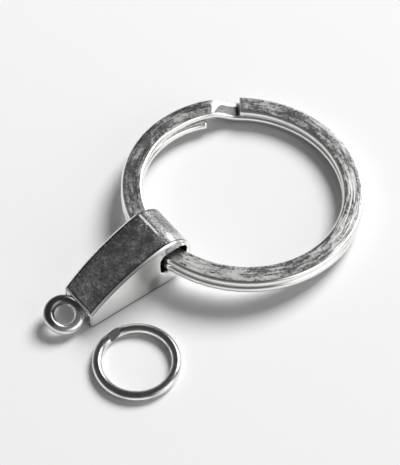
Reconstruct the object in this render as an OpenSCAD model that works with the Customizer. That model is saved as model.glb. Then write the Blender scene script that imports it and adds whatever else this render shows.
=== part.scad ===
// Key ring: a two-turn split ring, a cast connector that rides on it, and a
// small joining ring for the connector's eye. All lengths are millimetres.
// The set lies on the surface z = 0. The origin is on that surface, straight
// below the centre of the split ring. +X is right, +Y is away, +Z is up.

/* [Split ring] */
// Outer diameter of the split ring
ring_od = 30; // [27:0.5:36]
// Width of the flat wire, from the inside of the ring to the outside
wire_w = 2.7; // [2.3:0.1:3]
// Thickness of one turn of the wire
coil_t = 1.0; // [0.7:0.05:1.1]
// Gap between the two turns
coil_gap = 0.06; // [0.04:0.01:0.2]
// How far the wire's rounded sides stand out past its flat faces
side_bulge = 0.28; // [0.15:0.01:0.34]
// Angle of the cut end of the upper turn, seen from above
upper_end_at = 91; // [60:1:120]
// Angle between the two cut ends, with the step of the wire between them
end_opening = 20; // [17:1:30]
// Angle over which the wire steps from the lower turn to the upper one
step_angle = 15; // [12:1:15]
// Length of the lower turn's sprung end, as an angle about its own centre
spring_angle = 58; // [40:1:62]
// How much tighter than the rest of the turn the sprung end curves
spring_in = 1.6; // [0.4:0.1:1.8]

/* [How the pieces lie] */
// Direction from the ring's centre to the connector's slot
slot_at = 220.5; // [200:0.5:240]
// Turn of the connector away from the ring's radius
connector_yaw = -2.2; // [-4:0.1:4]
// Turn from the slot to the ring's highest side
ring_lean = 12.5; // [-15:0.5:15]
// Clearance between the slot's floor and the lower turn
floor_gap = 0.38; // [0.2:0.05:0.4]
// Free space between the eye and the joining ring beside it
loose_gap = 2.8; // [1.5:0.1:8]
// Direction from the eye to the joining ring
loose_at = -34.6; // [-60:0.1:-20]

/* [Connector body] */
// Diameter of the round end that holds the slot
barrel_d = 7.4; // [7:0.1:9]
// Length from the centre of the round end to the narrow end
toe_reach = 11.15; // [9:0.1:16]
// Height of the narrow end
toe_h = 2.4; // [1.8:0.1:3]
// Width of the narrow end
toe_w = 5.4; // [4.5:0.1:6.5]
// Width across the centre of the round end
barrel_w = 6.2; // [5.6:0.1:7]
// Radius of the arched back
arch_r = 23.2; // [20:0.1:40]
// Bevel along the edges of the arched back
edge_bevel = 0.3; // [0.1:0.05:0.4]
// Radius of the upright corners of the narrow end
toe_corner_r = 0.4; // [0.3:0.1:1.2]

/* [Connector slot] */
// Length of the slot, along the connector
slot_len = 3.8; // [3.6:0.1:3.9]
// Height of the slot
slot_h = 3.7; // [3.6:0.05:3.9]
// Height of the slot's floor above the underside
slot_floor = 1.97; // [1.6:0.05:2.1]
// Corner radius of the slot
slot_corner_r = 1.1; // [0.8:0.1:1.4]
// Radius of the rounded lip at each mouth
slot_lip_r = 0.3; // [0.1:0.05:0.35]
// Metal left between the slot and the end of the connector
end_wall = 0.75; // [0.5:0.1:1]
// How far the wire lies from the slot's middle, toward the narrow end
wire_shift = 0.15; // [0:0.05:0.2]

/* [Connector eye] */
// Diameter of the hole in the eye
eye_hole_d = 2.5; // [2:0.1:3]
// Diameter of the round section of the eye
eye_wire_d = 1.3; // [1:0.1:1.6]
// How far the drilled hole cuts into the round section
eye_land = 0.05; // [0.02:0.01:0.1]
// How far the eye sinks into the narrow end
eye_root = 0.5; // [0.3:0.1:0.9]
// Height of the centre of the eye
eye_z = 1.55; // [1.4:0.05:1.9]
// Twist of the eye about the connector's length
eye_twist = 18; // [0:1:20]

/* [Joining ring] */
// Outer diameter of the joining ring
joining_od = 10.6; // [8:0.2:16]
// Thickness of its two half-round turns together
joining_t = 1.22; // [0.9:0.02:1.6]
// Gap between its turns
joining_gap = 0.05; // [0.03:0.01:0.1]
// Angle of the cut end of its upper turn, seen from above
joining_end_at = 138; // [90:1:180]
// Angle between its cut ends
joining_opening = 34; // [30:1:45]
// Angle over which its wire steps up
joining_step = 24; // [16:1:26]

/* [Hidden] */
$fn = 48;
step_lap = 0.25;    // lap of a ring's step into its two turns
step_inset = 0.01;  // how far a step's faces lie inside those of the turns

// Split ring
wire_mid_r = (ring_od - wire_w) / 2;
turn_lift = (coil_t + coil_gap) / 2;
side_r = (coil_t * coil_t / 4 + side_bulge * side_bulge) / (2 * side_bulge);
turn_angle = 360 - (end_opening + step_angle) / 2;
step_from = upper_end_at + (end_opening - step_angle) / 2;
spring_r = wire_mid_r - spring_in;
spring_from = step_from + 360 - turn_angle
    + atan2(spring_r * sin(spring_angle), spring_in + spring_r * cos(spring_angle));

// The ring leans: it rests on the surface at its lowest side, and on the slot's
// floor at slot_at. The lean follows from the height of the wire in the slot.
wire_z = slot_floor + floor_gap + coil_t + coil_gap / 2;
lean_arm = ring_od / 2 + wire_mid_r * cos(ring_lean);
lean_drop = coil_t + coil_gap / 2;
lean = asin(wire_z / norm([lean_arm, lean_drop])) - atan2(lean_drop, lean_arm);
high_at = slot_at + ring_lean;
ring_centre_z = ring_od / 2 * sin(lean) + lean_drop * cos(lean);

// Connector, in its own frame: u runs along it toward the round end, from the
// centre of the round end, v runs to its left and z runs up from its underside.
barrel_r = barrel_d / 2;
slot_u = barrel_r - end_wall - slot_len / 2;
slot_z = slot_floor + slot_h / 2;
wire_u = slot_u - wire_shift;
connector_az = slot_at - 180 + connector_yaw;
arch_c = arc_centre([0, barrel_r], arch_r - barrel_r, [-toe_reach, toe_h], arch_r);
arch_meet = [0, barrel_r] + barrel_r * unit([0, barrel_r] - arch_c);
side_taper = atan((barrel_w - toe_w) / 2 / toe_reach);
eye_r = eye_hole_d / 2 + eye_wire_d / 2 - eye_land;
eye_u = -toe_reach + eye_root - eye_r - eye_wire_d / 2;

// Joining ring
joining_r = joining_t / 2;
joining_mid_r = joining_od / 2 - joining_r;
eye_outer_r = eye_r + eye_wire_d / 2;
joining_from_eye = eye_outer_r + loose_gap + joining_od / 2;
joining_turn = 360 - (joining_opening + joining_step) / 2;
joining_margin = (joining_opening - joining_step) / 2;

function unit(p) = p / norm(p);
function polar(r, a) = [r * cos(a), r * sin(a)];
function mix(a, b, f) = a + (b - a) * f;
function ease(f) = (1 - cos(180 * f)) / 2;

// The lower of the two points that lie at ra from a and at rb from b
function arc_centre(a, ra, b, rb) =
    let (d = norm(b - a), way = (b - a) / d, along = (ra * ra - rb * rb + d * d) / (2 * d))
    a + along * way + sqrt(ra * ra - along * along) * [-way[1], way[0]];

// Plan position of a point of the connector's frame
wire_spot = polar(wire_mid_r, slot_at);
function on_plan(u, v) =
    wire_spot + polar(u - wire_u, connector_az) + polar(v, connector_az + 90);

// Closed skin over a row of sections, all with the same number of points
module skin(sections) {
    n = len(sections[0]);
    last = len(sections) - 1;
    points = [for (section = sections) each section];
    sides = [
        for (i = [0 : last - 1], k = [0 : n - 1])
        let (j = (k + 1) % n)
        each [
            [i * n + k, (i + 1) * n + k, (i + 1) * n + j],
            [i * n + k, (i + 1) * n + j, i * n + j]
        ]
    ];
    first_cap = [[for (k = [0 : n - 1]) k]];
    last_cap = [[for (k = [n - 1 : -1 : 0]) last * n + k]];
    polyhedron(points, concat(sides, first_cap, last_cap), convexity = 6);
}

module turn(from, angle, r) {
    rotate([0, 0, from])
        rotate_extrude(angle = angle)
            translate([r, 0])
                children();
}

module flat_wire() {
    intersection() {
        square([wire_w, coil_t], center = true);
        union() {
            square([wire_w - 2 * side_r, coil_t], center = true);
            for (s = [-1, 1]) translate([s * (wire_w / 2 - side_r), 0]) circle(side_r, $fn = 24);
        }
    }
}

// Side view of a step: its top and bottom faces pass smoothly from their first
// heights to their last, and run on level for the lap into each turn
module step_outline(run, top, bottom) {
    steps = 8;
    way = [for (i = [0 : steps]) i / steps];
    function at(f, heights) = [mix(-run / 2, run / 2, f), mix(heights[0], heights[1], ease(f))];
    function edge(heights) = concat(
        [at(0, heights) - [step_lap, 0]], [for (f = way) at(f, heights)],
        [at(1, heights) + [step_lap, 0]]
    );
    below = edge(bottom);
    polygon(concat(edge(top), [for (k = [len(below) - 1 : -1 : 0]) below[k]]));
}

// A step's outline given the width of the wire, at the angle a and the radius r
module step_band(a, r, width) {
    rotate([0, 0, a])
        translate([r, 0, 0])
            rotate([90, 0, 90])
                linear_extrude(width, center = true) children();
}

module ring_step() {
    half = coil_t / 2 - step_inset;
    intersection() {
        step_band(step_from + step_angle / 2, wire_mid_r, 2 * wire_w)
            step_outline(wire_mid_r * step_angle * PI / 180,
                         [half - turn_lift, half + turn_lift],
                         [-half - turn_lift, -half + turn_lift]);
        rotate_extrude()
            translate([wire_mid_r, 0])
                square([wire_w - side_bulge, 4 * coil_t], center = true);
    }
}

// Two flat turns and the step between them, about the ring's own centre. The
// lower turn's free end springs inward, on an arc tangent to the turn.
module split_ring_flat() {
    step_to = step_from + step_angle;
    translate([0, 0, turn_lift]) turn(step_to, turn_angle, wire_mid_r) flat_wire();
    translate([0, 0, -turn_lift])
        rotate([0, 0, spring_from]) {
            turn(0, step_from + 360 - spring_from, wire_mid_r) flat_wire();
            translate([spring_in, 0, 0])
                mirror([0, 1, 0]) turn(0, spring_angle, spring_r) flat_wire();
        }
    ring_step();
}

module split_ring() {
    color([0.80, 0.80, 0.78])
        translate([0, 0, ring_centre_z])
            rotate([0, 0, high_at])
                rotate([0, -lean, 0])
                    rotate([0, 0, -high_at])
                        split_ring_flat();
}

// Side view of the body, inset by the bevel b and with the narrow end set back
function body_outline(b, back) =
    let (
        meet = atan2(arch_meet[1] - barrel_r, arch_meet[0]),
        toe = [-toe_reach + back + b, toe_h - b],
        from = atan2(toe[1] - arch_c[1], toe[0] - arch_c[0])
    )
    concat(
        [for (k = [0 : 18]) [0, barrel_r] + polar(barrel_r - b, mix(-90, meet, k / 18))],
        [for (k = [1 : 12]) arch_c + polar(arch_r - b, mix(meet, from, k / 12))],
        [[toe[0], 0]]
    );

// The casting's body: outlines side by side, from its left face to its right.
// d is the distance of an outline from the nearer side face.
module body() {
    r = max(toe_corner_r, edge_bevel + 0.1);
    side_steps = [0, edge_bevel / 2, edge_bevel, mix(edge_bevel, r, 0.5), r];
    rows = concat(
        [for (d = side_steps) [1, d]],
        [for (k = [len(side_steps) - 1 : -1 : 0]) [-1, side_steps[k]]]
    );
    skin([
        for (row = rows)
        let (d = row[1], outline = body_outline(max(0, edge_bevel - d), r - sqrt(d * (2 * r - d))))
        [for (p = outline) [p[0], row[0] * (barrel_w / 2 + p[0] * tan(side_taper) - d), p[1]]]
    ]);
}

// Outline of half a tunnel: its half size r, flared at the mouth by the lip
module trumpet(r) {
    mouth = barrel_w / 2;
    square([r, mouth + 1]);
    difference() {
        translate([r - 0.01, mouth - slot_lip_r]) square([slot_lip_r + 0.01, slot_lip_r + 1]);
        translate([r + slot_lip_r, mouth - slot_lip_r]) circle(slot_lip_r, $fn = 24);
    }
}

module half_slot() {
    across = slot_len / 2 - slot_corner_r;
    up = slot_h / 2 - slot_corner_r;
    for (x = [-across, across], y = [-up, up])
        translate([x, y, 0]) rotate_extrude() trumpet(slot_corner_r);
    for (s = [0, 180]) {
        rotate([0, 0, s]) rotate([90, 0, 0])
            linear_extrude(2 * up, center = true) trumpet(slot_len / 2);
        rotate([0, 0, s + 90]) rotate([90, 0, 0])
            linear_extrude(2 * across, center = true) trumpet(slot_h / 2);
    }
}

module slot() {
    translate([slot_u, 0, slot_z])
        for (s = [90, -90]) rotate([s, 0, 0]) half_slot();
}

module eye_ring() {
    translate([eye_u, 0, eye_z])
        rotate([eye_twist, 0, 0])
            rotate_extrude() translate([eye_r, 0]) circle(d = eye_wire_d, $fn = 24);
}

module eye_hole() {
    translate([eye_u, 0, eye_z])
        rotate([eye_twist, 0, 0])
            cylinder(d = eye_hole_d, h = 2 * eye_wire_d, center = true);
}

module connector() {
    color([0.42, 0.42, 0.41])
        translate(concat(on_plan(0, 0), [0]))
            rotate([0, 0, connector_az])
                difference() {
                    union() {
                        body();
                        eye_ring();
                    }
                    slot();
                    eye_hole();
                }
}

// Half of the joining wire's round section: s is 1 for the upper turn
module half_wire(s) {
    intersection() {
        circle(joining_r, $fn = 24);
        translate([-joining_r, s > 0 ? joining_gap / 2 : -joining_r - joining_gap / 2])
            square([2 * joining_r, joining_r]);
    }
}

module joining_step_up(step_at) {
    seam = joining_gap / 2 + step_inset;
    intersection() {
        step_band(step_at, joining_mid_r, 4 * joining_r)
            step_outline(joining_mid_r * joining_step * PI / 180,
                         [joining_r, -seam], [seam, -joining_r]);
        rotate_extrude()
            translate([joining_mid_r, 0]) circle(joining_r - step_inset, $fn = 24);
    }
}

module joining_ring() {
    centre = on_plan(eye_u, 0) + polar(joining_from_eye, loose_at);
    step_start = joining_end_at - joining_margin;
    step_end = step_start - joining_step;
    color([0.62, 0.62, 0.60])
        translate([centre[0], centre[1], joining_r]) {
            turn(step_start, joining_turn, joining_mid_r) half_wire(-1);
            turn(step_end - joining_turn, joining_turn, joining_mid_r) half_wire(1);
            joining_step_up((step_start + step_end) / 2);
        }
}

split_ring();
connector();
joining_ring();
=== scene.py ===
"""Key ring set: a split ring, its cast connector and a small joining ring, dressed
with plated-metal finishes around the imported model."""

import math

import bmesh
import bpy
from mathutils import Matrix, Vector


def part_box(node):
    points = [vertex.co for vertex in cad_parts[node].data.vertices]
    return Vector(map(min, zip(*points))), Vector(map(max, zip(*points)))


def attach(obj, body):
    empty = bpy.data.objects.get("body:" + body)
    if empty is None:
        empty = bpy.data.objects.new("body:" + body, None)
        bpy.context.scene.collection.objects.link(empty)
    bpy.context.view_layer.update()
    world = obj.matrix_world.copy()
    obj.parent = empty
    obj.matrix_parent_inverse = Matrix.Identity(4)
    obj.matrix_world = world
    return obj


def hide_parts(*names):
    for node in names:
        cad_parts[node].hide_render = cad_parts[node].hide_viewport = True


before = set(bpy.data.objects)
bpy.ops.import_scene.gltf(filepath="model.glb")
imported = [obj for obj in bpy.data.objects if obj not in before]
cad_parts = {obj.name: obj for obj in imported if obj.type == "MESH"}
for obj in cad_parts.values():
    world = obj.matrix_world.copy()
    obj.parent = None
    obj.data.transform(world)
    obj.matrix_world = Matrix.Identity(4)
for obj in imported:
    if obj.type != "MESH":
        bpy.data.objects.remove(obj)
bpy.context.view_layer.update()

bl_info = {
    "name": "Key Ring Set",
    "version": (1, 0, 0),
    "blender": (4, 5, 0),
    "location": "View3D > Sidebar > Key Ring",
    "description": "Builds the dressed key ring set around the packed model",
    "category": "Object",
}

MM = 0.001
TURN = 2 * math.pi

# A piece's bmesh is in millimetres until the piece is made, and so are these three lengths.
MERGE_DISTANCE = 0.0001
FOOT_HEIGHT = 0.05
SOFT_BEVEL = 0.05

# angles between two faces: past the first, the casting's edge is bevelled, and past the others
# an edge stays sharp in the shading
CREASE = 0.8
JOINING_SHARP = math.radians(40)
CASTING_SHARP = math.radians(25)


# ---------------------------------------------------------------- helpers

def mm(value):
    """A length property, in metres, as millimetres."""
    return value / MM


def ease(f):
    """Smooth rise from 0 to 1."""
    f = min(1.0, max(0.0, f))
    return (1 - math.cos(math.pi * f)) / 2


def mix(a, b, f):
    """The value that lies the share f of the way from a to b."""
    return a + (b - a) * f


def polar(radius, bearing):
    """A point of a plane, from its distance and its angle."""
    return Vector((radius * math.cos(bearing), radius * math.sin(bearing)))


def mesh_object(name, bm, material, body, node):
    """Turns a bmesh into a finished piece, in metres, that stands for a CAD node."""
    bmesh.ops.remove_doubles(bm, verts=bm.verts, dist=MERGE_DISTANCE)
    bmesh.ops.dissolve_degenerate(bm, dist=MERGE_DISTANCE, edges=bm.edges)
    bmesh.ops.recalc_face_normals(bm, faces=bm.faces)
    bmesh.ops.scale(bm, vec=(MM, MM, MM), verts=bm.verts)
    mesh = bpy.data.meshes.new(name)
    bm.to_mesh(mesh)
    bm.free()
    for polygon in mesh.polygons:
        polygon.use_smooth = True
    mesh.materials.append(material)
    piece = bpy.data.objects.new(name, mesh)
    bpy.context.scene.collection.objects.link(piece)
    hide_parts(node)
    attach(piece, body)
    return piece


# ---------------------------------------------------------------- shader maths

class Signal:
    """One output socket of a node tree, with arithmetic that adds Math nodes."""

    def __init__(self, look, socket):
        self.look = look
        self.socket = socket

    def _math(self, operation, *values):
        return self.look.node("ShaderNodeMath", {"operation": operation},
                              dict(enumerate(values)))[0]

    def __add__(self, other):
        return self._math("ADD", self, other)

    __radd__ = __add__

    def __sub__(self, other):
        return self._math("SUBTRACT", self, other)

    def __rsub__(self, other):
        return self._math("SUBTRACT", other, self)

    def __mul__(self, other):
        return self._math("MULTIPLY", self, other)

    __rmul__ = __mul__

    def __neg__(self):
        return self._math("MULTIPLY", self, -1.0)

    def __abs__(self):
        return self._math("ABSOLUTE", self)

    def clamp(self):
        """The signal, held between 0 and 1."""
        return self._math("MINIMUM", self._math("MAXIMUM", self, 0.0), 1.0)

    def ramp(self, low, high):
        """0 below low, 1 above high and smooth between."""
        return self.look.node("ShaderNodeMapRange", {"interpolation_type": "SMOOTHSTEP"},
                              {"Value": self, "From Min": low, "From Max": high})["Result"]


class Look:
    """A node tree under construction: a material's or the world's."""

    def __init__(self, tree):
        self.tree = tree
        tree.nodes.clear()

    def feed(self, slot, value):
        """Links a signal to a socket, or sets a plain value there; a colour is opaque."""
        if isinstance(value, Signal):
            self.tree.links.new(value.socket, slot)
        elif slot.type == "RGBA":
            slot.default_value = (*value, 1.0)
        else:
            slot.default_value = value

    def node(self, kind, settings=None, values=None):
        """Adds a node; returns its outputs by place, and those in use by name too."""
        made = self.tree.nodes.new(kind)
        for name, setting in (settings or {}).items():
            setattr(made, name, setting)
        for name, value in (values or {}).items():
            self.feed(made.inputs[name], value)
        outputs = {}
        for place, out in enumerate(made.outputs):
            outputs[place] = Signal(self, out)
            if out.enabled:
                outputs[out.name] = outputs[place]
        return outputs

    def blend(self, factor, first, second):
        """Colour first where factor is 0 and colour second where it is 1."""
        # inputs 6 and 7 and output 2 are the Mix node's colours
        return self.node("ShaderNodeMix", {"data_type": "RGBA"},
                         {0: factor, 6: first, 7: second})[2]

    def noise(self, vector, scale, detail, rough):
        return self.node("ShaderNodeTexNoise", {}, {
            "Vector": vector, "Scale": scale, "Detail": detail, "Roughness": rough,
        })["Fac"]

    def grain(self, vector, repeats, start, detail, rough):
        """Noise with its own number of repeats a metre in each direction."""
        stretched = self.node("ShaderNodeMapping", {}, {
            "Vector": vector, "Scale": repeats, "Location": start,
        })["Vector"]
        return self.noise(stretched, scale=1.0, detail=detail, rough=rough)

    def attribute(self, name, output):
        """An attribute of the mesh, as a Vector or as one number, Fac."""
        return self.node("ShaderNodeAttribute", {"attribute_name": name})[output]

    def split(self, vector):
        """A vector's three numbers."""
        parts = self.node("ShaderNodeSeparateXYZ", {}, {"Vector": vector})
        return parts["X"], parts["Y"], parts["Z"]

    def reach(self, vector, way):
        """How far a vector reaches in a direction."""
        return self.node("ShaderNodeVectorMath", {"operation": "DOT_PRODUCT"},
                         {0: vector, 1: way})["Value"]

    def object_place(self):
        """The place on the piece, in metres."""
        return self.node("ShaderNodeTexCoord")["Object"]

    def bump(self, strength, depth, height):
        return self.node("ShaderNodeBump", {}, {
            "Strength": strength, "Distance": depth, "Height": height,
        })["Normal"]

    def metal(self, colour, roughness, normal):
        """Ends a material as plated metal."""
        shader = self.node("ShaderNodeBsdfPrincipled", {}, {
            "Base Color": colour, "Roughness": roughness, "Metallic": 1.0, "Normal": normal,
        })
        self.node("ShaderNodeOutputMaterial", {}, {"Surface": shader["BSDF"]})


def new_material(name):
    """A material, and the look that its nodes are made in."""
    material = bpy.data.materials.new(name)
    material.use_nodes = True
    return material, Look(material.node_tree)


def grey(level):
    """A colour with equal parts of red, green and blue."""
    return (level, level, level)


# ---------------------------------------------------------------- finishes

# Lengths in the finishes are in metres. A pair says where a fade starts and where it ends.
# A grain has its repeats a metre along the wire and across it, and the place it starts from.
STREAK_GRAIN = (480.0, 3600.0, 0.0)
STREAK_START = (0.0, 0.0, 0.0)
PATCH_GRAIN = (300.0, 900.0, 0.0)
PATCH_START = (3.1, 1.7, 0.0)
SCORE_GRAIN = (170.0, 5200.0, 0.0)
SCORE_START = (5.3, 2.9, 0.0)

# the side of the split ring that is rubbed, and the side that is scored lengthways
RUBBED_WAY = (-0.39, -0.92, 0.0)
RUBBED_FADE = (0.0120, 0.0133)
SCORED_WAY = (0.97, -0.25, 0.0)
SCORED_FADE = (0.0118, 0.0136)
SCORE_LINES = (0.52, 0.60)
WEAR_FADE = (0.465, 0.63)
TARNISH_FADE = (0.35, 0.65)

# the step's painted highlight, a bright polished band: how much of the drop its two edges take to
# cross, and how far they go
FRONT_CROSSING = (-0.01, 0.36)
FRONT_REACH = 0.0029
FRONT_SOFTNESS = (-0.0004, 0.0005)
REAR_CROSSING = (0.0, 0.5)
REAR_REACH = 0.0018
REAR_SOFTNESS = (-0.0001, 0.0001)
STEP_START = (0.0, 0.02)
# where painted shade darkens the step's outer edge, and where it darkens the step's hollow
STEP_RIM = (0.00098, 0.00106)
STEP_RIM_DROP = (0.05, 0.2)
STEP_SHADE_DROP = (0.0, 0.08)
STEP_SHADE_INNER = (0.0, 0.0002)
CUT_EDGE = (1.3, 1.7)


def bright_plate(scene):
    """Silver plating: bright rounded sides, and flat faces darkened partly by patina and partly by
    painted shade, with worn flecks.
    """
    finish = scene.finish
    half_width = scene.split_ring.wire_width / 2
    material, look = new_material("bright_plate")
    wire = look.attribute("wire", "Vector")
    stepped = look.attribute("step", "Fac")
    _, across, side = look.split(wire)
    place = look.object_place()
    streaks = look.grain(wire, STREAK_GRAIN, STREAK_START, detail=4.0, rough=0.65)
    patches = look.grain(wire, PATCH_GRAIN, PATCH_START, detail=3.0, rough=0.6)
    specks = look.noise(place, scale=2800.0, detail=3.0, rough=0.7)
    rubbed = look.reach(place, RUBBED_WAY).ramp(*RUBBED_FADE)
    scored_side = look.reach(place, SCORED_WAY).ramp(*SCORED_FADE)
    lines = look.grain(wire, SCORE_GRAIN, SCORE_START, detail=2.0, rough=0.5)
    scored = lines.ramp(*SCORE_LINES) * scored_side * (1 - side)
    wear = streaks * 0.45 + patches * 0.25 + specks * 0.30 + rubbed * 0.07
    worn = wear.ramp(*WEAR_FADE) * finish.wear * (1 - side)
    # the step: a painted highlight, a bright polished band, crosses from the inner edge to the
    # outer, with a hollow inside it; painted shade darkens the hollow and the wire's outer edge
    # there
    down = 1 - stepped
    in_step = stepped.ramp(*STEP_START)
    front = down.ramp(*FRONT_CROSSING) * FRONT_REACH - half_width
    rear = down.ramp(*REAR_CROSSING) * REAR_REACH - half_width
    step_highlight = (front - across).ramp(*FRONT_SOFTNESS) * (across - rear).ramp(*REAR_SOFTNESS)
    step_highlight = step_highlight * in_step
    rim = across.ramp(*STEP_RIM) * down.ramp(*STEP_RIM_DROP) * 0.9
    depth = 0.55 + (rear - across).ramp(*STEP_SHADE_INNER) * 0.4
    shaded = (1 - step_highlight) * down.ramp(*STEP_SHADE_DROP) * depth
    hollow = (shaded + rim).clamp() * in_step * (1 - side)
    cut_edge = stepped.ramp(*CUT_EDGE)
    polished = (side + step_highlight + cut_edge + scored * 0.8).clamp()
    # the flats' tone: partly patina and partly painted shade, darker to stand for the dark room
    # that the flats mirror
    flat_patina_and_shade = look.blend(patches.ramp(*TARNISH_FADE), finish.ring_dark, finish.ring_dull)
    colour = look.blend((polished + worn * 0.7).clamp(), flat_patina_and_shade, finish.ring_bright)
    colour = look.blend(hollow, colour, finish.ring_step_shade)
    roughness = 0.24 + (worn + scored).clamp() * 0.38 - side * 0.06 + step_highlight * 0.06
    relief = (streaks * 0.8 + patches * 0.8 + specks * 0.4) * (1 - polished * 0.85)
    look.metal(colour, roughness, look.bump(strength=0.7, depth=0.00003, height=relief))
    return material


# the joining ring's top, by height, darkened as painted shade; its cloudy patina; and its cut ends
WIRE_TOP = (0.00105, 0.00130)
CLOUDY = (0.5, 0.7)
JOINING_CUT = (0.9, 1.4)


def joining_plate(scene):
    """The same plating on the small ring's round wire, with cloudy patina and painted shade along
    its top.
    """
    finish = scene.finish
    material, look = new_material("joining_plate")
    place = look.object_place()
    _, _, up = look.split(place)
    clouds = look.noise(place, scale=500.0, detail=3.0, rough=0.5)
    specks = look.noise(place, scale=3300.0, detail=2.0, rough=0.6)
    # painted shade: the top of the wire is darkened to stand for the dark room that it mirrors
    top = (up + clouds * 0.0003).ramp(*WIRE_TOP)
    stepped = look.attribute("step", "Fac")
    tarnish_and_shade = (top * 0.9 + (clouds * 0.8 + specks * 0.2).ramp(*CLOUDY) * 0.4).clamp()
    tarnish_and_shade = (tarnish_and_shade + stepped.ramp(*JOINING_CUT)).clamp()
    colour = look.blend(tarnish_and_shade * finish.tarnish_and_shade, finish.joining_bright, finish.joining_dark)
    roughness = 0.15 + tarnish_and_shade * 0.08
    relief = clouds + specks * 0.3
    look.metal(colour, roughness, look.bump(strength=0.3, depth=0.00003, height=relief))
    return material


def within(distance, limit):
    """1 inside a limit and 0 outside it."""
    soft_from, soft_to = 0.00002, 0.0001
    return 1 - distance.ramp(limit + soft_from, limit + soft_to)


def cast_parts(look, con):
    """Place along the casting, place across it, height, and distance from the nearer side."""
    along, across, up = look.split(look.attribute("cast", "Vector"))
    taper = (con.barrel_width - con.toe_width) / 2 / con.toe_reach
    return along, across, up, con.barrel_width / 2 + along * taper - abs(across)


# shares of a bevel, from its outer edge, at which the casting's polish and dark lines end
BEVEL_END = (0.96, 1.04)
INNER_LINE_END = (1.3, 1.7)
EDGE_SHADE_END = (1.5, 4.0)
TOE_POLISH_END = (0.95, 1.1)
TOE_LINE_START = (1.0, 1.2)
TOE_LINE_END = (1.6, 2.2)
TOE_POLISH_DEPTH = (1.3, 1.0)  # below the toe's top

# the slot's painted shade, the dark lines, the painted contact shadow at the foot, and the painted
# reflection of the ring's shadow on the casting's side
SLOT_DEPTH = (0.0002, 0.0010)
OUTER_LINE_START = (0.00001, 0.00003)
OUTER_LINE_END = (0.00006, 0.00009)
OUTER_LINE_FOOT = (0.0020, 0.0024)
CONTACT_SHADOW_FADE = (0.00012, 0.00024)
REFLECTED_SHADOW_OFF_SLOT = 0.0011
REFLECTED_SHADOW_SPREAD = (0.0002, 0.0013)
REFLECTED_SHADOW_RISE = (0.0016, 0.0036)
REFLECTED_SHADOW_INWARD = (0.00004, 0.0001)

# the painted highlight along the ridge where the back panel ends, and the round end past it with
# its own painted highlight
RIDGE_WIDTH = (0.00010, 0.00018)
RIDGE_ACROSS = (-0.0016, -0.0004)
ROUND_START = (-0.00002, 0.00004)
ROUND_HIGHLIGHT_FADE = (0.0010, 0.0022)
BACK_SHADE = (-0.001, 0.003)
MOTTLE = (0.42, 0.62)
FLECKS = (0.54, 0.66)
EDGE_CLOUDS = (0.35, 0.75)


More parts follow.
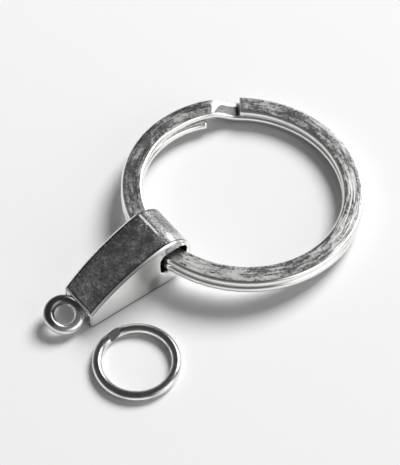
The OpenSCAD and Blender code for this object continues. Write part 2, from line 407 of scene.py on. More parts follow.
def antique_plate(scene):
    """Dark mottled plating on the casting's back, polished bright on its sides and edges, with
    painted shade and painted highlights.
    """
    con, finish = scene.connector, scene.finish
    edge, toe_bevel = con.edge_bevel, con.toe_bevel
    material, look = new_material("antique_plate")
    along, across, up, inward = cast_parts(look, con)
    place = look.object_place()
    clouds = look.noise(place, scale=700.0, detail=4.0, rough=0.6)
    specks = look.noise(place, scale=3400.0, detail=3.0, rough=0.65)

    def beside(distance, bevel, shares):
        return distance.ramp(bevel * shares[0], bevel * shares[1])

    # the slot: painted shade makes it black inside, and its lips are bright
    middle_z = con.slot_floor + con.slot_height / 2
    half_l, half_h = con.slot_length / 2, con.slot_height / 2
    off_x, off_z = abs(along - slot_middle(con) * MM), abs(up - middle_z)
    in_slot = within(off_x, half_l) * within(off_z, half_h)
    near_slot = within(off_x, half_l + con.slot_lip) * within(off_z, half_h + con.slot_lip)
    painted_slot_shade = in_slot * inward.ramp(*SLOT_DEPTH)
    # the side's bevel, with a dark line each side of it
    on_back = beside(inward, edge, BEVEL_END)
    polished = 1 - on_back
    inner_line = on_back * (1 - beside(inward, edge, INNER_LINE_END))
    outer_line = inward.ramp(*OUTER_LINE_START) * (1 - inward.ramp(*OUTER_LINE_END))
    outer_line = outer_line * (1 - near_slot) * up.ramp(*OUTER_LINE_FOOT)
    # the toe's top edge, polished, with a dark line behind it
    from_toe = along + con.toe_reach
    toe_edge = 1 - beside(from_toe, toe_bevel, TOE_POLISH_END)
    toe_edge = toe_edge * up.ramp(con.toe_height - toe_bevel * TOE_POLISH_DEPTH[0],
                                  con.toe_height - toe_bevel * TOE_POLISH_DEPTH[1])
    toe_line = (1 - beside(from_toe, toe_bevel, TOE_LINE_END)) * (1 - polished)
    toe_line = toe_line * beside(from_toe, toe_bevel, TOE_LINE_START)
    # painted contact shadow: a dark line along the side's foot, where it meets the floor
    contact_shadow = (1 - up.ramp(*CONTACT_SHADOW_FADE)) * polished
    # a painted reflection of the ring's shadow on the floor: a dark patch on the side, below the
    # slot's near end
    reflected_shadow_x = slot_middle(con) * MM - half_l - REFLECTED_SHADOW_OFF_SLOT
    reflected_shadow = 1 - abs(along - reflected_shadow_x).ramp(*REFLECTED_SHADOW_SPREAD)
    reflected_shadow = reflected_shadow * (1 - up.ramp(*REFLECTED_SHADOW_RISE)) * (1 - inward.ramp(*REFLECTED_SHADOW_INWARD))
    # a painted highlight along the ridge where the back panel ends, and the darker round end past
    # it, with a painted highlight toward one side
    past = along - con.ridge_at
    round_end = past.ramp(*ROUND_START)
    # painted highlight: a bright line where the back meets the round end, over part of its width
    ridge_highlight = (1 - abs(past).ramp(*RIDGE_WIDTH)) * across.ramp(*RIDGE_ACROSS) * (1 - polished)
    # painted highlight on the round end, toward one side
    round_end_highlight = (-across).ramp(*ROUND_HIGHLIGHT_FADE) * round_end
    # the mottled tarnish, darker beside the bevels
    edge_shade = 1 - beside(inward, edge, EDGE_SHADE_END)
    mottle = clouds * 0.5 + specks * 0.5 + (-across).ramp(*BACK_SHADE) * 0.05
    mottle = (mottle - edge_shade * 0.05).ramp(*MOTTLE)
    flecks = (clouds * 0.35 + specks * 0.65).ramp(*FLECKS) * (1 - round_end * 0.7)
    back = look.blend(mottle, finish.back_dark, finish.back_light)
    back = look.blend(flecks, back, finish.back_fleck)
    round_tone = look.blend(mottle, finish.round_dark, finish.round_light)
    bright = look.blend(clouds.ramp(*EDGE_CLOUDS), finish.edge_dull, finish.edge_bright)
    colour = look.blend(round_end, back, round_tone)
    colour = look.blend((ridge_highlight + round_end_highlight * 0.7).clamp(), colour, bright)
    colour = look.blend(polished, colour, bright)
    # the dark lines beside the bevels, with the painted contact shadow and the painted reflection
    # of the ring's shadow
    lines = inner_line * 0.85 + outer_line * 0.6 + toe_line * 0.9 + contact_shadow * 0.9
    lines = (lines + reflected_shadow * 0.5).clamp()
    colour = look.blend(lines, colour, finish.edge_line_and_shade)
    colour = look.blend(toe_edge, colour, bright)
    # painted shade deep inside the slot
    colour = look.blend(painted_slot_shade * 0.97, colour, finish.slot_shade_tone)
    smooth = (polished + toe_edge + ridge_highlight + round_end_highlight * 0.5).clamp()
    roughness = 0.27 - smooth * 0.09 + flecks * (1 - smooth) * 0.28 + ridge_highlight * 0.35
    relief = (clouds * 0.4 + specks * 0.6) * (1 - smooth * 0.9)
    look.metal(colour, roughness, look.bump(strength=0.5, depth=0.00004, height=relief))
    return material


# heights above the eye's centre between which its painted shade starts, darkening its top
EYE_TOP = (0.00045, 0.0008)


def eye_plate(scene):
    """The casting's plating round its eye, darkened on top as painted shade, and bright inside and
    below.
    """
    con, finish = scene.connector, scene.finish
    material, look = new_material("eye_plate")
    _, _, up = look.split(look.attribute("cast", "Vector"))
    place = look.object_place()
    clouds = look.noise(place, scale=600.0, detail=3.0, rough=0.5)
    specks = look.noise(place, scale=3000.0, detail=3.0, rough=0.6)
    # painted shade on the eye's top, for the dark room that it mirrors
    top = (up + clouds * 0.0004).ramp(con.eye_height + EYE_TOP[0], con.eye_height + EYE_TOP[1])
    colour = look.blend(top * 0.92, finish.eye_bright, finish.eye_dark)
    roughness = 0.27 - top * 0.06
    relief = clouds * 0.6 + specks * 0.4
    look.metal(colour, roughness, look.bump(strength=0.3, depth=0.00004, height=relief))
    return material


# ---------------------------------------------------------------- settings

def length(name, description, default_mm):
    return bpy.props.FloatProperty(name=name, description=description, default=default_mm * MM,
                                   unit="LENGTH", subtype="DISTANCE", precision=5)


def angle(name, description, default_degrees):
    return bpy.props.FloatProperty(name=name, description=description,
                                   default=math.radians(default_degrees), unit="ROTATION",
                                   subtype="ANGLE")


def share(name, description, default):
    return bpy.props.FloatProperty(name=name, description=description, default=default,
                                   min=0.0, max=1.0, subtype="FACTOR")


def power(name, description, default):
    return bpy.props.FloatProperty(name=name, description=description, default=default, min=0.0,
                                   subtype="POWER", unit="POWER")


def swatch(name, description, default):
    return bpy.props.FloatVectorProperty(name=name, description=description, default=default,
                                         min=0.0, max=1.0, size=3, subtype="COLOR")


class SplitRingSettings(bpy.types.PropertyGroup):
    outer_diameter: length("Outer diameter", "Outer diameter of the split ring", 30.0)
    wire_width: length("Wire width", "Width of the flat wire across the ring", 2.7)
    turn_thickness: length("Turn thickness", "Thickness of one turn of the wire", 1.0)
    turn_gap: length("Turn gap", "Gap between the two turns", 0.06)
    side_bulge: length("Side bulge", "How far the rounded sides stand out", 0.28)
    end_angle: angle("End angle", "Angle of the upper turn's cut end, from above", 91.0)
    end_opening: angle("End opening", "Angle between the two cut ends", 20.0)
    step_angle: angle("Step angle", "Angle over which the wire steps up", 15.0)
    spring_angle: angle("Sprung length", "Length of the lower turn's sprung end", 58.0)
    spring_in: length("Sprung curve", "How much tighter the sprung end curves", 1.6)
    slot_direction: angle("Slot direction", "Direction of the connector's slot", 220.5)
    lean_turn: angle("Lean turn", "Turn from the slot to the highest side", 12.5)
    wire_height: length("Wire height", "Height of the wire's middle in the slot", 3.38)


class ConnectorSettings(bpy.types.PropertyGroup):
    barrel_diameter: length("Barrel diameter", "Diameter of the round end", 7.4)
    toe_reach: length("Toe reach", "Length from the round end's centre to the toe", 11.15)
    toe_height: length("Toe height", "Height of the narrow end", 2.4)
    toe_width: length("Toe width", "Width of the narrow end", 5.4)
    barrel_width: length("Barrel width", "Width across the centre of the round end", 6.2)
    arch_radius: length("Arch radius", "Radius of the arched back", 23.2)
    edge_bevel: length("Edge bevel", "Bevel along the edges of the back", 0.3)
    toe_bevel: length("Toe bevel", "Bevel along the toe's top edge", 0.18)
    ridge_at: length("Ridge", "Place of the ridge where the back panel ends", 0.35)
    slot_length: length("Slot length", "Length of the slot", 3.8)
    slot_height: length("Slot height", "Height of the slot", 3.7)
    slot_floor: length("Slot floor", "Height of the slot's floor", 1.97)
    slot_corner: length("Slot corner", "Corner radius of the slot", 1.1)
    slot_lip: length("Slot lip", "Radius of the slot's rounded lip", 0.3)
    end_wall: length("End wall", "Metal between the slot and the round end", 0.75)
    wire_shift: length("Wire shift", "Place of the wire off the slot's middle", 0.15)
    yaw: angle("Yaw", "Turn of the connector away from the ring's radius", -2.2)
    eye_hole: length("Eye hole", "Diameter of the hole in the eye", 2.5)
    eye_wire: length("Eye wire", "Diameter of the eye's round section", 1.3)
    eye_land: length("Eye land", "How far the drilled hole cuts into the section", 0.05)
    eye_root: length("Eye root", "How far the eye sinks into the toe", 0.5)
    eye_height: length("Eye height", "Height of the eye's centre", 1.55)
    eye_twist: angle("Eye twist", "Twist of the eye about the connector's length", 18.0)


class JoiningRingSettings(bpy.types.PropertyGroup):
    outer_diameter: length("Outer diameter", "Outer diameter of the joining ring", 10.6)
    thickness: length("Thickness", "Thickness of its two turns together", 1.22)
    turn_gap: length("Turn gap", "Gap between its turns", 0.05)
    end_angle: angle("End angle", "Angle of its upper turn's cut end", 138.0)
    end_opening: angle("End opening", "Angle between its cut ends", 34.0)
    step_angle: angle("Step angle", "Angle over which its wire steps up", 24.0)


class FinishSettings(bpy.types.PropertyGroup):
    wear: share("Wear", "How far the split ring's flats are worn to bright flecks", 0.9)
    # how far the joining ring's patina and the painted shade along its top go
    tarnish_and_shade: share("Tarnish", "Depth of the tarnish on the joining ring", 0.8)
    ring_bright: swatch("Ring, bright", "Polished plating of the split ring", (0.93, 0.93, 0.915))
    # the split ring's flats: partly patina and partly painted shade, for the dark room that they
    # mirror
    ring_dull: swatch("Ring, dull", "Paler tarnish on its flats", (0.72, 0.72, 0.712))
    ring_dark: swatch("Ring, dark", "Darker tarnish on its flats", (0.36, 0.36, 0.356))
    # painted shade in the hollow of the split ring's step
    ring_step_shade: swatch("Ring, hollow", "Tarnish in the hollow of its step", (0.06, 0.06, 0.06))
    joining_bright: swatch("Joining ring, bright", "Polished plating of the joining ring",
                           (0.92, 0.92, 0.905))
    # the joining ring's dark colour: painted shade along its top, and its patina and cut ends
    joining_dark: swatch("Joining ring, dark", "Tarnish along its top", (0.22, 0.22, 0.218))
    back_light: swatch("Back, light", "Paler tarnish on the casting's back", (0.82, 0.82, 0.81))
    back_dark: swatch("Back, dark", "Darker tarnish on its back", (0.34, 0.34, 0.336))
    back_fleck: swatch("Back, flecks", "Worn flecks on its back", (0.88, 0.88, 0.87))
    round_light: swatch("Round end, light", "Paler tarnish on its round end", (0.52, 0.52, 0.513))
    round_dark: swatch("Round end, dark", "Darker tarnish on its round end", (0.24, 0.24, 0.237))
    edge_bright: swatch("Sides, bright", "Brightest plating on its sides", (0.98, 0.98, 0.97))
    edge_dull: swatch("Sides, dull", "Dullest plating on its sides", (0.93, 0.93, 0.92))
    # dark lines beside the casting's bevels; the same colour paints the contact shadow along its
    # foot and the reflection of the ring's shadow on its side
    edge_line_and_shade: swatch("Lines", "Tarnish in the lines beside its bevels", (0.05, 0.05, 0.05))
    # painted shade inside the slot
    slot_shade_tone: swatch("Slot", "Tarnish inside its slot", (0.02, 0.02, 0.02))
    eye_bright: swatch("Eye, bright", "Polished plating of its eye", (0.92, 0.92, 0.905))
    # painted shade on top of the eye
    eye_dark: swatch("Eye, dark", "Tarnish on top of its eye", (0.14, 0.14, 0.138))


class StageSettings(bpy.types.PropertyGroup):
    look_x: length("Look at X", "Point on the surface that the camera looks at, X", -5.252)
    look_y: length("Look at Y", "Point on the surface that the camera looks at, Y", -4.534)
    camera_distance: length("Camera distance", "From the camera to that point", 280.0)
    camera_rise: angle("Camera rise", "Camera's angle above the horizon", 54.844)
    focal_length: bpy.props.FloatProperty(name="Focal length",
                                          description="Focal length in millimetres",
                                          default=205.27, subtype="DISTANCE_CAMERA")
    floor_tone: share("Floor tone", "Brightness of the pale floor", 0.83)
    light_heading: angle("Light heading", "Direction of the soft light, from above", 50.0)
    light_rise: angle("Light rise", "Angle of the soft light above the floor", 43.0)
    light_distance: length("Light distance", "From the object to the soft lights", 1200.0)
    light_size: length("Light size", "Diameter of the soft lights", 640.0)
    light_power: power("Light power", "Power of the soft light", 19.0)
    window_heading: angle("Window heading", "Direction of the light that shines in the metal", 42.0)
    window_rise: angle("Window rise", "Angle of that light above the floor", 30.0)
    window_size: length("Window size", "Diameter of that light", 1000.0)
    window_power: power("Window power", "Power of that light", 12.0)
    horizon: share("Horizon", "Brightness of the room near the floor", 0.40)
    ceiling: share("Ceiling", "Brightness of the room overhead", 0.11)


# ---------------------------------------------------------------- the two rings

def loop_around(bm, points):
    """A closed loop of edges through points in the XZ plane."""
    verts = [bm.verts.new((x, 0.0, z)) for x, z in points]
    return [bm.edges.new((verts[k - 1], verts[k])) for k in range(len(verts))]


def swing_about(centre, turn):
    """A turn about an upright line through a point of the plan view."""
    there = Matrix.Translation((centre[0], centre[1], 0))
    return there @ Matrix.Rotation(turn, 4, "Z") @ there.inverted()


def wire_layers(bm):
    """Adds the layers that the rings' finishes read, wire and step.

    The wire layer keeps the place along the wire, the place across it and how bright it is; on
    the joining ring, the second is the vertex's number in the section. The step layer of the
    split ring rises from 0 on the lower turn to 1 on the upper turn, and is 2 at the upper
    turn's end. That of the joining ring is 0 on its turns, 1 in the step between them and 2 at
    both cut ends.
    """
    return bm.verts.layers.float_vector.new("wire"), bm.verts.layers.float.new("step")


def sweep(bm, edges, stations, layers, radius):
    """Extrudes a section through stations: each a move, its turn and how far the step has gone."""
    wire, stepped = layers
    along = 0.0
    for move, turn, climbed in stations:
        made = bmesh.ops.extrude_edge_only(bm, edges=edges)["geom"]
        verts = [g for g in made if isinstance(g, bmesh.types.BMVert)]
        inside = set(verts)
        edges = [g for g in made if isinstance(g, bmesh.types.BMEdge)]
        edges = [e for e in edges if e.verts[0] in inside and e.verts[1] in inside]
        bmesh.ops.transform(bm, matrix=move, verts=verts)
        along += abs(turn) * radius * MM
        for vert in verts:
            vert[wire] = (along, vert[wire].y, vert[wire].z)
            vert[stepped] = climbed
    return edges


def flat_wire_section(ring):
    """Points around the flat wire's rounded section, each with its brightness."""
    half_w = mm(ring.wire_width) / 2
    half_t = mm(ring.turn_thickness) / 2
    bulge = mm(ring.side_bulge)
    radius = (half_t ** 2 + bulge ** 2) / (2 * bulge)
    flat = half_w - bulge
    soft = 0.07  # width of the softened corner between the side and the flat
    side_reach = math.asin(half_t / radius) - soft / radius
    half_steps = 4
    corner_x, corner_z, corner_bright = flat + 0.004, half_t - 0.012, 0.9
    side = [
        (half_w - radius + radius * math.cos(a), radius * math.sin(a), 1.0)
        for a in (side_reach * k / half_steps for k in range(-half_steps, half_steps + 1))
    ]
    corner = [(corner_x, corner_z, corner_bright)]
    face = [(x, half_t, 0.0) for x in (flat - soft, flat / 2, 0.0, -flat / 2, soft - flat)]
    far_corner = [(-corner_x, corner_z, corner_bright)]
    opposite = [(-x, -z, bright) for x, z, bright in side + corner + face]
    under = [(corner_x, -corner_z, corner_bright)]
    return side + corner + face + far_corner + opposite + under


def ring_lean(ring):
    """The split ring's lean, and the height of its centre, in millimetres.

    It stands on its far edge, and the connector's slot holds the wire up at the near side.
    """
    outer = mm(ring.outer_diameter) / 2
    middle = outer - mm(ring.wire_width) / 2
    drop = mm(ring.turn_thickness) + mm(ring.turn_gap) / 2
    arm = outer + middle * math.cos(ring.lean_turn)
    lean = math.asin(mm(ring.wire_height) / math.hypot(arm, drop)) - math.atan2(drop, arm)
    return lean, outer * math.sin(lean) + drop * math.cos(lean)


def build_split_ring(scene):
    """Sweeps the flat wire from its sprung end up the step to its cut end, and leans it."""
    ring = scene.split_ring
    middle = (mm(ring.outer_diameter) - mm(ring.wire_width)) / 2
    pitch = mm(ring.turn_thickness) + mm(ring.turn_gap)
    turn_angle = TURN - (ring.end_opening + ring.step_angle) / 2
    step_from = ring.end_angle + (ring.end_opening - ring.step_angle) / 2
    step_lead = math.radians(2.2)  # the wire starts to rise this far ahead
    # the sprung end curves about a hub of its own and runs into the lower turn at spring_from
    spring_in = mm(ring.spring_in)
    spring_r = middle - spring_in
    lower_end = step_from - turn_angle
    spring_from = lower_end + math.atan2(
        spring_r * math.sin(ring.spring_angle),
        spring_in + spring_r * math.cos(ring.spring_angle))
    hub = polar(spring_in, spring_from)

    bm = bmesh.new()
    layers = wire_layers(bm)
    section = flat_wire_section(ring)
    edges = loop_around(bm, [(x, z) for x, z, bright in section])
    for vert, (x, z, bright) in zip(bm.verts, section):
        vert[layers[0]] = (0.0, x * MM, bright)
    place = (swing_about(hub, -ring.spring_angle) @ Matrix.Rotation(spring_from, 4, "Z")
             @ Matrix.Translation((middle, 0, -pitch / 2)))
    bmesh.ops.transform(bm, matrix=place, verts=bm.verts)
    first = list(edges)

    # the sprung end, the lower turn, the step and the upper turn
    spring_steps, lower_steps, step_steps, upper_steps = 40, 200, 18, 230
    spring_turn = ring.spring_angle / spring_steps
    lower_turn = (step_from - step_lead - spring_from) / lower_steps
    upper_turn = turn_angle / upper_steps
    stations = [(swing_about(hub, spring_turn), spring_turn, 0.0)] * spring_steps
    stations += [(Matrix.Rotation(lower_turn, 4, "Z"), lower_turn, 0.0)] * lower_steps
    step_turn = (ring.step_angle + step_lead) / step_steps
    for k in range(step_steps):
        rise = ease((k + 1) / step_steps) - ease(k / step_steps)
        move = Matrix.Translation((0, 0, rise * pitch)) @ Matrix.Rotation(step_turn, 4, "Z")
        stations.append((move, step_turn, (k + 1) / step_steps))
    stations += [(Matrix.Rotation(upper_turn, 4, "Z"), upper_turn, 1.0)] * (upper_steps - 1)
    stations.append((Matrix.Rotation(upper_turn, 4, "Z"), upper_turn, 2.0))
    last = sweep(bm, edges, stations, layers, middle)
    for cap in (first, last):
        bmesh.ops.contextual_create(bm, geom=cap)
    lean, height = ring_lean(ring)
    high = ring.slot_direction + ring.lean_turn
    tilt = (Matrix.Translation((0, 0, height)) @ Matrix.Rotation(high, 4, "Z")
            @ Matrix.Rotation(-lean, 4, "Y") @ Matrix.Rotation(-high, 4, "Z"))
    bmesh.ops.transform(bm, matrix=tilt, verts=bm.verts)
    piece = mesh_object("split_ring_wire", bm, bright_plate(scene), "ring", "split_ring")


def round_slice(radius, low, high):
    """Points around the part of a round wire's section that lies between two heights."""
    steps = 12
    first, last = math.asin(max(-1, low / radius)), math.asin(min(1, high / radius))
    right = [polar(radius, mix(first, last, k / steps)) for k in range(steps + 1)]
    return [tuple(p) for p in right] + [(-p.x, p.y) for p in reversed(right)]


def build_joining_ring(scene):
    """Sweeps half a round wire round one turn, across its step and round the other turn."""
    ring = scene.joining_ring
    radius = mm(ring.thickness) / 2
    middle = mm(ring.outer_diameter) / 2 - radius
    seam = mm(ring.turn_gap) / 2
    turn_angle = TURN - (ring.end_opening + ring.step_angle) / 2
    step_start = ring.end_angle - (ring.end_opening - ring.step_angle) / 2
    low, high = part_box("joining_ring")
    centre = [mm(a + b) / 2 for a, b in zip(low, high)]

    bm = bmesh.new()
    wire, stepped = wire_layers(bm)
    edges = loop_around(bm, round_slice(radius, -radius, -seam))
    for number, vert in enumerate(bm.verts):
        vert[wire] = (0.0, number, 1.0)
    place = Matrix.Rotation(step_start + turn_angle, 4, "Z") @ Matrix.Translation((middle, 0, 0))
    bmesh.ops.transform(bm, matrix=place, verts=bm.verts)
    first = list(edges)
    turn_steps, step_steps = 110, 14
    turn = -turn_angle / turn_steps
    one_turn = [(Matrix.Rotation(turn, 4, "Z"), turn, 0.0)] * turn_steps
    edges = sweep(bm, edges, one_turn, (wire, stepped), middle)
    # in the step, the lower half of the round wire changes into the upper half
    step_turn = -ring.step_angle / step_steps
    swing = Matrix.Rotation(step_turn, 4, "Z")
    for k in range(1, step_steps + 1):
        rise = ease(k / step_steps)
        section = round_slice(radius, mix(-radius, seam, rise), mix(-seam, radius, rise))
        edges = sweep(bm, edges, [(swing, step_turn, 1.0)], (wire, stepped), middle)
        for vert in {v for e in edges for v in e.verts}:
            x, z = section[round(vert[wire].y)]
            spot = polar(middle + x, step_start + step_turn * k)
            vert.co = (spot.x, spot.y, z)
    last = sweep(bm, edges, one_turn, (wire, stepped), middle)
    for cap in (first, last):
        bmesh.ops.contextual_create(bm, geom=cap)
        for vert in {v for e in cap for v in e.verts}:
            vert[stepped] = 2.0
    bmesh.ops.translate(bm, vec=(centre[0], centre[1], radius), verts=bm.verts)
    piece = mesh_object("joining_ring_wire", bm, joining_plate(scene), "ring", "joining_ring")
    piece.data.set_sharp_from_angle(angle=JOINING_SHARP)


# ---------------------------------------------------------------- the connector

def connector_frame(scene):
    """Matrix from the connector's own frame to the whole set's."""
    ring, con = scene.split_ring, scene.connector
    middle = (mm(ring.outer_diameter) - mm(ring.wire_width)) / 2
    wire = polar(middle, ring.slot_direction)
    heading = ring.slot_direction - math.pi + con.yaw
    origin = wire - polar(slot_middle(con) - mm(con.wire_shift), heading)
    return Matrix.Translation((origin.x, origin.y, 0)) @ Matrix.Rotation(heading, 4, "Z")


def slot_middle(con):
    """Place of the slot's middle along the connector, from the round end's centre."""
    return mm(con.barrel_diameter) / 2 - mm(con.end_wall) - mm(con.slot_length) / 2


def arch_centre(con):
    """Centre of the arc that passes through the toe and runs into the round end."""
    barrel = mm(con.barrel_diameter) / 2
    start, toe = Vector((0, barrel)), Vector((-mm(con.toe_reach), mm(con.toe_height)))
    near, far = mm(con.arch_radius) - barrel, mm(con.arch_radius)
    way = toe - start
    gap = way.length
    way.normalize()
    along = (near ** 2 - far ** 2 + gap ** 2) / (2 * gap)
    return start + along * way + math.sqrt(near ** 2 - along ** 2) * Vector((-way.y, way.x))


def body_outline(con):
    """Side view of the casting, from the foot of the round end over the back to the toe."""
    barrel = mm(con.barrel_diameter) / 2
    arch = mm(con.arch_radius)
    centre = arch_centre(con)
    meet = math.atan2(barrel - centre.y, -centre.x)
    toe = Vector((-mm(con.toe_reach), mm(con.toe_height))) - centre
    toe_angle = math.atan2(toe.y, toe.x)
    round_steps, back_steps = 30, 24
    hub = Vector((0, barrel))
    foot = -math.pi / 2
    front = [hub + polar(barrel, mix(foot, meet, k / round_steps)) for k in range(round_steps + 1)]
    back = [centre + polar(arch, mix(meet, toe_angle, k / back_steps))
            for k in range(1, back_steps + 1)]
    return front + back + [Vector((-mm(con.toe_reach), 0.0))]


def slot_outline(con):
    """Rounded rectangle of the slot, seen from the side."""
    half_l, half_h = mm(con.slot_length) / 2, mm(con.slot_height) / 2
    corner = mm(con.slot_corner)
    middle = Vector((slot_middle(con), mm(con.slot_floor) + half_h))
    steps = 8
    points = []
    for quarter, (sx, sz) in enumerate(((1, 1), (-1, 1), (-1, -1), (1, -1))):
        hub = middle + Vector((sx * (half_l - corner), sz * (half_h - corner)))
        points += [hub + polar(corner, (quarter + k / steps) * math.pi / 2)
                   for k in range(steps + 1)]
    return points


def cast_attribute(bm):
    """Keeps each vertex's place in the connector's own frame, for its finish."""
    layer = bm.verts.layers.float_vector.new("cast")
    for vert in bm.verts:
        vert[layer] = vert.co * MM


def build_connector(scene):
    """Extrudes the casting's side view across its width, tapers it and bevels its edges."""
    con = scene.connector
    bm = bmesh.new()
    outline = loop_around(bm, [tuple(p) for p in body_outline(con)])
    slot = loop_around(bm, [tuple(p) for p in slot_outline(con)])
    side = bmesh.ops.triangle_fill(bm, use_beauty=True, use_dissolve=False, edges=outline + slot)
    faces = [g for g in side["geom"] if isinstance(g, bmesh.types.BMFace)]
    mouth = {side_place(v) for e in slot for v in e.verts}
    half = mm(con.barrel_width) / 2
    bmesh.ops.translate(bm, vec=(0, -half, 0), verts=bm.verts)
    made = bmesh.ops.extrude_face_region(bm, geom=faces)["geom"]
    verts = [g for g in made if isinstance(g, bmesh.types.BMVert)]
    bmesh.ops.translate(bm, vec=(0, 2 * half, 0), verts=verts)
    bmesh.ops.recalc_face_normals(bm, faces=bm.faces)
    taper = (mm(con.barrel_width) - mm(con.toe_width)) / 2 / mm(con.toe_reach)
    for vert in bm.verts:
        vert.co.y += taper * vert.co.x * math.copysign(1, vert.co.y)
    bm.normal_update()

    # the creases that run along the casting: the slot's lips, the foot and the rim of the back
    along = [e for e in creases(bm) if abs(e.verts[0].co.y - e.verts[1].co.y) <= half]
    lips = [e for e in along if side_place(e.verts[0]) in mouth]
    foot = [e for e in along if max(v.co.z for v in e.verts) < FOOT_HEIGHT]
    apart = set(lips + foot)
    rim = [e for e in along if e not in apart]
    bevel_edges(bm, lips, mm(con.slot_lip), segments=5)
    bevel_edges(bm, rim, mm(con.edge_bevel), segments=1)
    high = mm(con.toe_height) / 2
    toe_top = [e for e in creases(bm) if min(v.co.z for v in e.verts) > high]
    bevel_edges(bm, toe_top, mm(con.toe_bevel), segments=3)
    bevel_edges(bm, creases(bm), SOFT_BEVEL, segments=2)
    cast_attribute(bm)
    bmesh.ops.transform(bm, matrix=connector_frame(scene), verts=bm.verts)
    piece = mesh_object("connector_casting", bm, antique_plate(scene), "connector", "connector")
    piece.data.set_sharp_from_angle(angle=CASTING_SHARP)
    build_eye(scene)


def side_place(vert):
    """A vertex's place as seen from the side, rounded so that like places are equal."""
    digits = 4
    return round(vert.co.x, digits), round(vert.co.z, digits)


def creases(bm):
    """The edges where two faces meet at more than a crease's angle."""
    return [e for e in bm.edges if e.is_manifold and e.calc_face_angle() > CREASE]


def bevel_edges(bm, edges, offset, segments):
    """Rounds edges off, or cuts them flat where there is one segment."""
    bmesh.ops.bevel(bm, geom=edges, offset=offset, offset_type="OFFSET", segments=segments,
                    profile=0.5, affect="EDGES", material=-1, clamp_overlap=True)
    bm.normal_update()


def build_eye(scene):
    """Spins the eye's round section, and sets it at the toe with its twist."""
    con = scene.connector
    radius = (mm(con.eye_hole) + mm(con.eye_wire)) / 2 - mm(con.eye_land)
    bm = bmesh.new()
    section_steps, turn_steps = 32, 72
    upright = Matrix.Rotation(math.pi / 2, 3, "X")
    bmesh.ops.create_circle(bm, segments=section_steps, radius=mm(con.eye_wire) / 2)
    bmesh.ops.rotate(bm, cent=(0, 0, 0), matrix=upright, verts=bm.verts)
    bmesh.ops.translate(bm, vec=(radius, 0, 0), verts=bm.verts)
    bmesh.ops.spin(bm, geom=bm.verts[:] + bm.edges[:], cent=(0, 0, 0), axis=(0, 0, 1),
                   dvec=(0, 0, 0), angle=TURN, steps=turn_steps, use_merge=True,
                   use_duplicate=False)
    middle = -mm(con.toe_reach) + mm(con.eye_root) - radius - mm(con.eye_wire) / 2
    tilt = (Matrix.Translation((middle, 0, mm(con.eye_height)))
            @ Matrix.Rotation(con.eye_twist, 4, "X"))
    bmesh.ops.transform(bm, matrix=tilt, verts=bm.verts)
    cast_attribute(bm)
    bmesh.ops.transform(bm, matrix=connector_frame(scene), verts=bm.verts)
    piece = mesh_object("connector_eye", bm, eye_plate(scene), "connector", "connector")


# ---------------------------------------------------------------- the stage

# metres
FLOOR_HALF = 3.0
CLIP_START = 0.01

# the room that the metal mirrors: how high the horizon's tone reaches, and a glow on the right
HORIZON_FADE = (0.0, 0.6)
GLOW_WAY = (0.82, -0.38, 0.42)
GLOW_FADE = (0.84, 0.98)
GLOW_LEVEL = 1.3


def build_stage(scene):
    """Camera, floor and lights, with colours shown as they are."""
    build_camera(scene)
    build_floor(scene)
    build_lights(scene)
    scene.view_settings.view_transform = "Standard"


def build_camera(scene):
    """Aims the camera at its point on the surface."""
    stage = scene.stage
    data = bpy.data.cameras.new("camera")
    data.sensor_fit = "HORIZONTAL"
    data.lens = stage.focal_length
    data.clip_start = CLIP_START
    camera = bpy.data.objects.new("camera", data)
    scene.collection.objects.link(camera)
    back = polar(stage.camera_distance, stage.camera_rise)
    camera.location = (stage.look_x, stage.look_y - back.x, back.y)
    camera.rotation_euler = (math.pi / 2 - stage.camera_rise, 0, 0)
    scene.camera = camera


def build_floor(scene):
    """A wide sheet of pale paper under the set."""
    bm = bmesh.new()
    bmesh.ops.create_grid(bm, x_segments=1, y_segments=1, size=FLOOR_HALF)
    mesh = bpy.data.meshes.new("floor")
    bm.to_mesh(mesh)
    bm.free()
    material, look = new_material("floor_paper")
    shader = look.node("ShaderNodeBsdfPrincipled", {}, {
        "Base Color": grey(scene.stage.floor_tone), "Roughness": 0.9, "Specular IOR Level": 0.1,
    })
    look.node("ShaderNodeOutputMaterial", {}, {"Surface": shader["BSDF"]})
    mesh.materials.append(material)
    floor = bpy.data.objects.new("floor", mesh)
    scene.collection.objects.link(floor)


def soft_light(scene, name, heading, rise, size, watts):
    """A round soft light that faces the object."""
    stage = scene.stage
    lamp = bpy.data.lights.new(name, "AREA")
    lamp.shape = "DISK"
    lamp.size = size
    lamp.energy = watts
    flat = polar(math.cos(rise), heading)
    away = Vector((flat.x, flat.y, math.sin(rise)))
    box = bpy.data.objects.new(name, lamp)
    box.location = Vector((stage.look_x, stage.look_y, 0)) + away * stage.light_distance
    box.rotation_euler = away.to_track_quat("Z", "Y").to_euler()
    scene.collection.objects.link(box)
    return box


def build_lights(scene):
    """One light for the floor and its shadows, one for the metal to mirror, and the room."""
    stage = scene.stage
    softbox = soft_light(scene, "softbox", stage.light_heading, stage.light_rise,
                         stage.light_size, stage.light_power)
    softbox.visible_glossy = False
    window = soft_light(scene, "window", stage.window_heading, stage.window_rise,
                        stage.window_size, stage.window_power)
    window.visible_diffuse = False
    world = bpy.data.worlds.new("studio")
    scene.world = world
    world.use_nodes = True
    look = Look(world.node_tree)
    facing = look.node("ShaderNodeTexCoord")["Generated"]
    _, _, rise = look.split(facing)
    glow = look.reach(facing, GLOW_WAY).ramp(*GLOW_FADE)
    level = stage.ceiling + (1 - rise.ramp(*HORIZON_FADE)) * (stage.horizon - stage.ceiling)
    level = level + glow * GLOW_LEVEL
    sky = look.node("ShaderNodeBackground", {}, {"Color": grey(1.0), "Strength": level})
    look.node("ShaderNodeOutputWorld", {}, {"Surface": sky["Background"]})


# ---------------------------------------------------------------- operators

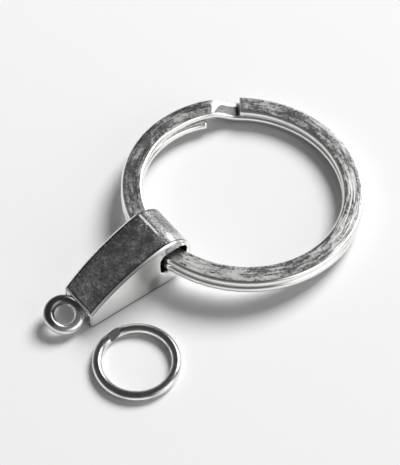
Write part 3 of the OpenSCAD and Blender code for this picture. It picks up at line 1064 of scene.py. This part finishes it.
class KEYRING_OT_stage(bpy.types.Operator):
    """Sets the camera, the pale floor and the soft lights"""
    bl_idname = "key_ring.stage"
    bl_label = "Stage"

    def execute(self, context):
        build_stage(context.scene)
        return {"FINISHED"}


class KEYRING_OT_split_ring(bpy.types.Operator):
    """Winds the two-turn split ring"""
    bl_idname = "key_ring.split_ring"
    bl_label = "Split Ring"

    def execute(self, context):
        build_split_ring(context.scene)
        return {"FINISHED"}


class KEYRING_OT_connector(bpy.types.Operator):
    """Models the cast connector with its slot and eye"""
    bl_idname = "key_ring.connector"
    bl_label = "Connector"

    def execute(self, context):
        build_connector(context.scene)
        return {"FINISHED"}


class KEYRING_OT_joining_ring(bpy.types.Operator):
    """Winds the small joining ring"""
    bl_idname = "key_ring.joining_ring"
    bl_label = "Joining Ring"

    def execute(self, context):
        build_joining_ring(context.scene)
        return {"FINISHED"}


class KEYRING_PT_sidebar(bpy.types.Panel):
    """Lists the sizes and the pieces of the key ring set"""
    bl_idname = "KEYRING_PT_sidebar"
    bl_label = "Key Ring"
    bl_space_type = "VIEW_3D"
    bl_region_type = "UI"
    bl_category = "Key Ring"

    def draw(self, context):
        for name, group in SETTINGS.items():
            box = self.layout.box()
            settings = getattr(context.scene, name)
            for key in group.__annotations__:
                box.prop(settings, key)
        for operator in OPERATORS:
            self.layout.operator(operator.bl_idname)


SETTINGS = {
    "split_ring": SplitRingSettings,
    "connector": ConnectorSettings,
    "joining_ring": JoiningRingSettings,
    "finish": FinishSettings,
    "stage": StageSettings,
}
OPERATORS = (KEYRING_OT_stage, KEYRING_OT_split_ring, KEYRING_OT_connector,
             KEYRING_OT_joining_ring)
CLASSES = tuple(SETTINGS.values()) + OPERATORS + (KEYRING_PT_sidebar,)


def register():
    for item in CLASSES:
        bpy.utils.register_class(item)
    for name, group in SETTINGS.items():
        setattr(bpy.types.Scene, name, bpy.props.PointerProperty(type=group))


def unregister():
    for name in SETTINGS:
        delattr(bpy.types.Scene, name)
    for item in reversed(CLASSES):
        bpy.utils.unregister_class(item)


def main():
    """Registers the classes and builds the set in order."""
    register()
    bpy.ops.key_ring.stage()
    bpy.ops.key_ring.split_ring()
    bpy.ops.key_ring.connector()
    bpy.ops.key_ring.joining_ring()


if __name__ == "__main__":
    main()
